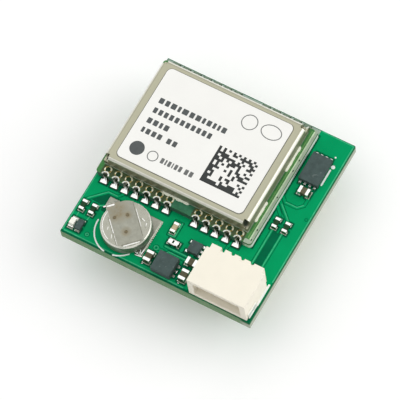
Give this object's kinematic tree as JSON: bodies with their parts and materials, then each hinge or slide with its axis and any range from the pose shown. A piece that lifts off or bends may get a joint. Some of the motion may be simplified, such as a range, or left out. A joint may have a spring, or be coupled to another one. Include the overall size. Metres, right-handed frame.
{
  "type": "satellite positioning module",
  "caption": "Small satellite positioning module: a green carrier board with a shielded receiver, a backup cell, a compass chip and a side entry socket on a ceramic patch antenna.",
  "frame": {"origin": "middle of the antenna's outer face, under the middle of the square carrier board", "axes": "+Z from the antenna to the component side, -Y the way the socket opens, +X along the socket's edge"},
  "size_m": [0.02, 0.02, 0.0084],
  "materials": {
    "carrier_green": "glossy solder mask over glass fibre board",
    "receiver_green": "satin solder mask with pale cut edges",
    "antenna_ceramic": "fine matt fired ceramic",
    "silver_face": "printed and fired silver",
    "feed_metal": "plated pin",
    "adhesive": "soft adhesive sheet",
    "solder": "bright solder",
    "pad_gold": "thin gold plating",
    "can_steel": "satin nickel silver sheet",
    "label_white": "smooth printed label",
    "chip_dark": "moulded resin",
    "part_white": "white ceramic",
    "lid_metal": "seam welded lid",
    "coil_grey": "moulded ferrite",
    "capacitor_brown": "fired ceramic",
    "cell_steel": "satin steel",
    "seal_black": "moulded seal",
    "cell_fill": "pressed pellets",
    "strip_metal": "satin strip with weld spots",
    "socket_cream": "moulded plastic",
    "contact_brass": "plated strip",
    "terminal_tin": "tin plating",
    "lens_milky": "milky clear resin",
    "resistor_black": "glazed film",
    "bead_beige": "fired ceramic"
  },
  "bodies": {
    "root": {"antenna_patch": "silver_face", "antenna_ceramic": "antenna_ceramic", "antenna_ground": "silver_face", "antenna_feed_pin": "feed_metal", "antenna_tape": "adhesive", "feed_solder": "solder", "carrier_board": "carrier_green", "carrier_pads": "pad_gold", "receiver_board": "receiver_green", "receiver_contacts": "pad_gold", "receiver_solder": "solder", "shield_can": "can_steel", "receiver_label": "label_white", "receiver_chip": "chip_dark", "flash_chip": "chip_dark", "radio_filter": "part_white", "amplifier_chip": "chip_dark", "reference_oscillator": "lid_metal", "clock_crystal": "lid_metal", "power_coil": "coil_grey", "receiver_capacitors": "capacitor_brown", "cell_case": "cell_steel", "cell_seal": "seal_black", "cell_cap": "cell_steel", "cell_core": "cell_fill", "cell_top_terminal": "strip_metal", "cell_lower_terminal": "strip_metal", "socket_housing": "socket_cream", "socket_contacts": "contact_brass", "socket_tabs": "terminal_tin", "compass_chip": "chip_dark", "regulator_body": "chip_dark", "regulator_leads": "terminal_tin", "memory_body": "chip_dark", "memory_leads": "terminal_tin", "lamp_base": "part_white", "lamp_lens": "lens_milky", "lamp_terminals": "terminal_tin", "diode_body": "chip_dark", "diode_terminals": "terminal_tin", "resistor_bodies": "resistor_black", "resistor_terminals": "terminal_tin", "capacitor_bodies": "capacitor_brown", "capacitor_terminals": "terminal_tin", "bead_body": "bead_beige", "bead_terminals": "terminal_tin", "part_solder": "solder"}
  },
  "joints": []
}
